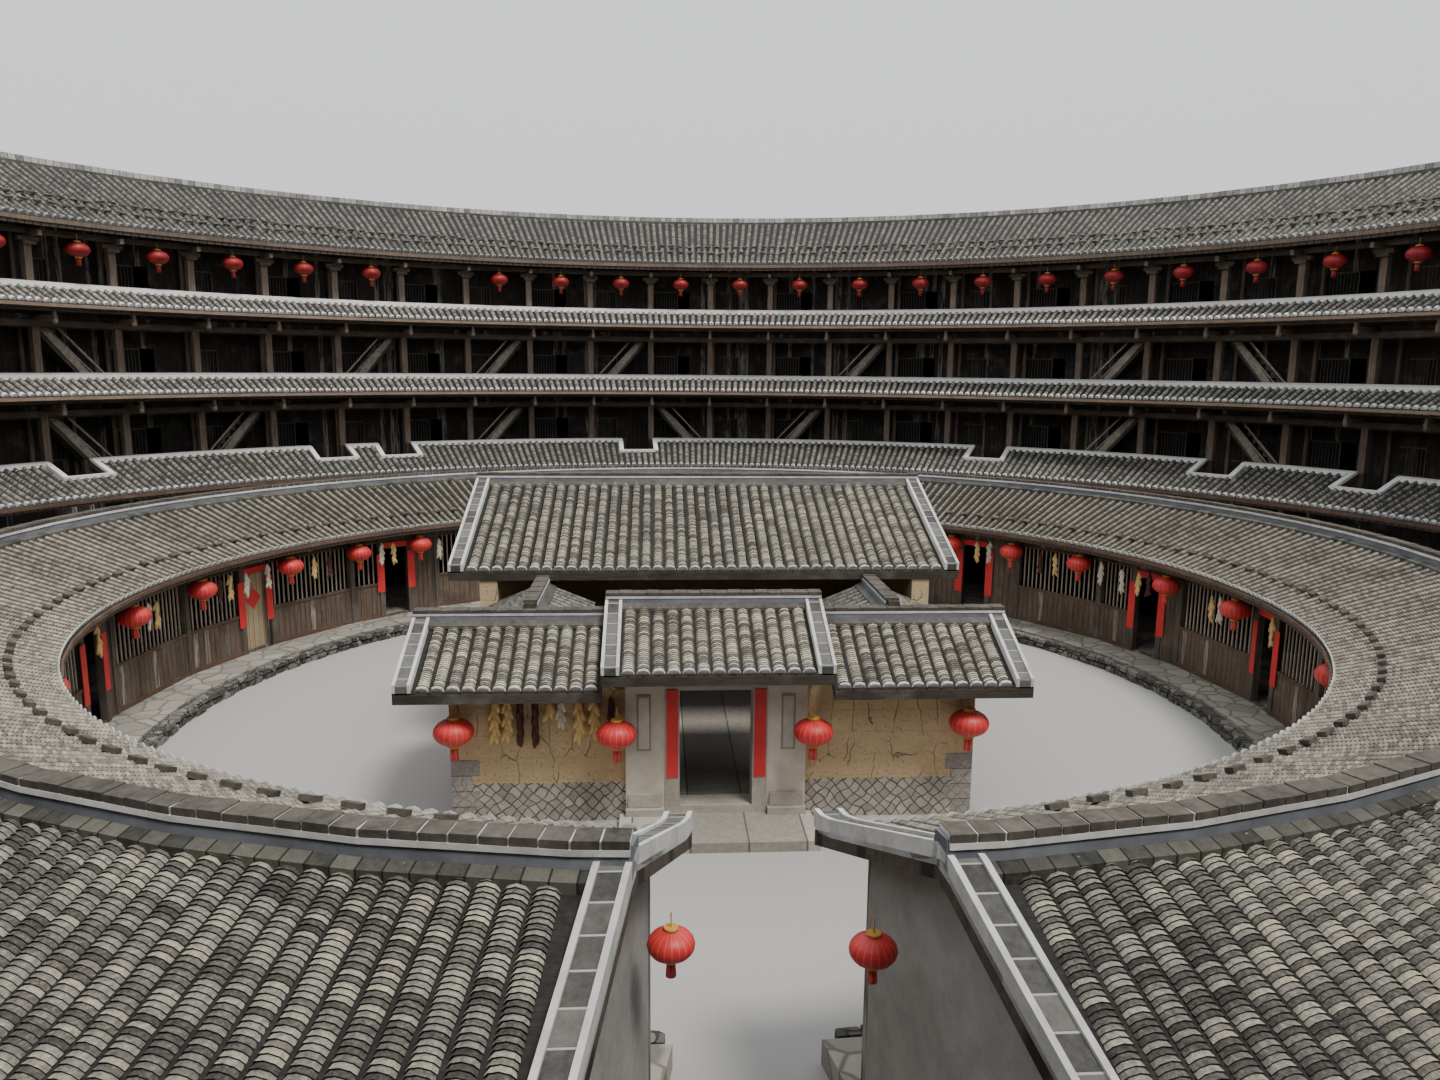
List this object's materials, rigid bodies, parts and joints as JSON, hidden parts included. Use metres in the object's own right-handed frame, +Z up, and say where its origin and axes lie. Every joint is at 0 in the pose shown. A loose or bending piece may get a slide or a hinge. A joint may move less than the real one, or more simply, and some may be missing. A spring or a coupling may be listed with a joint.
{
  "type": "tulou roundhouse, 1:2 scale model",
  "caption": "Round rammed-earth house at 1:2 scale: tall galleried outer ring with tiled roof, low inner ring, and a walled hall in the courtyard.",
  "frame": {"origin": "centre of the rings at courtyard level", "axes": "+Z up, -Y from the centre to the main gate, +X to the right of the gate seen from outside"},
  "size_m": [34.845, 34.845, 8.27],
  "materials": {
    "rammed_earth": "matt rammed earth",
    "plastered_brick": "matt grey plaster",
    "hall_earth": "matt ochre earth",
    "rubble_stone": "rough rubble stone",
    "granite": "dressed granite",
    "ridge_mortar": "lime mortar and dark brick",
    "roof_tile": "unglazed grey-brown clay tile",
    "new_plank": "light plank wood",
    "weathered_timber": "weathered brown timber",
    "weathered_boards": "weathered brown planks"
  },
  "bodies": {
    "house": {"outer_wall_front_right": "rammed_earth", "outer_wall_rear_right": "rammed_earth", "outer_wall_rear_left": "rammed_earth", "outer_wall_front_left": "rammed_earth", "wall_around_gate": "rammed_earth", "stone_footing": "rubble_stone", "gate_surround": "granite", "main_roof_inner_slope": "roof_tile", "main_roof_outer_slope": "roof_tile", "main_ridge": "ridge_mortar", "gallery_floor_2": "weathered_boards", "gallery_floor_3": "weathered_boards", "gallery_floor_4": "weathered_boards", "stair_flight_1": "weathered_boards", "stair_flight_2": "weathered_boards", "stair_flight_3": "weathered_boards", "stair_flight_4": "weathered_boards", "stair_flight_5": "weathered_boards", "stair_flight_6": "weathered_boards", "stair_flight_7": "weathered_boards", "stair_flight_8": "weathered_boards", "stair_flight_9": "weathered_boards", "stair_flight_10": "weathered_boards", "stair_flight_11": "weathered_boards", "stair_flight_12": "weathered_boards", "stair_flight_13": "weathered_boards", "stair_flight_14": "weathered_boards", "ground_front": "weathered_timber", "gallery_frame_2": "weathered_timber", "room_front_2": "weathered_boards", "gallery_frame_3": "weathered_timber", "room_front_3": "weathered_boards", "gallery_frame_4": "weathered_timber", "room_front_4": "weathered_boards", "lean_to_roof": "roof_tile", "lower_skirt_roof": "roof_tile", "upper_skirt_roof": "roof_tile", "inner_terrace": "rubble_stone", "inner_front": "weathered_boards", "inner_back_wall": "plastered_brick", "passage_wall_right": "plastered_brick", "passage_wall_left": "plastered_brick", "inner_roof_inner_slope": "roof_tile", "inner_roof_outer_slope": "roof_tile", "inner_ridge": "ridge_mortar", "hall_base": "rubble_stone", "hall_front_wall_left": "hall_earth", "hall_front_wall_right": "hall_earth", "hall_side_wall_left": "hall_earth", "hall_side_wall_right": "hall_earth", "hall_rear_wall": "hall_earth", "hall_gate_wall": "hall_earth", "hall_gate_frame": "granite", "hall_wing_roof_left": "roof_tile", "hall_wing_roof_right": "roof_tile", "hall_gate_roof": "roof_tile", "hall_main_roof": "roof_tile", "hall_side_roof_left": "roof_tile", "hall_side_roof_right": "roof_tile"},
    "door_leaf": {"inner_door_leaf": "new_plank"}
  },
  "joints": [
    {"name": "inner_door_hinge", "type": "hinge", "parent": "house", "child": "door_leaf", "pos_m": [-6.73856, 2.69165, 0.78], "axis": [0, 0, 1], "range_deg": [0, 95]}
  ]
}
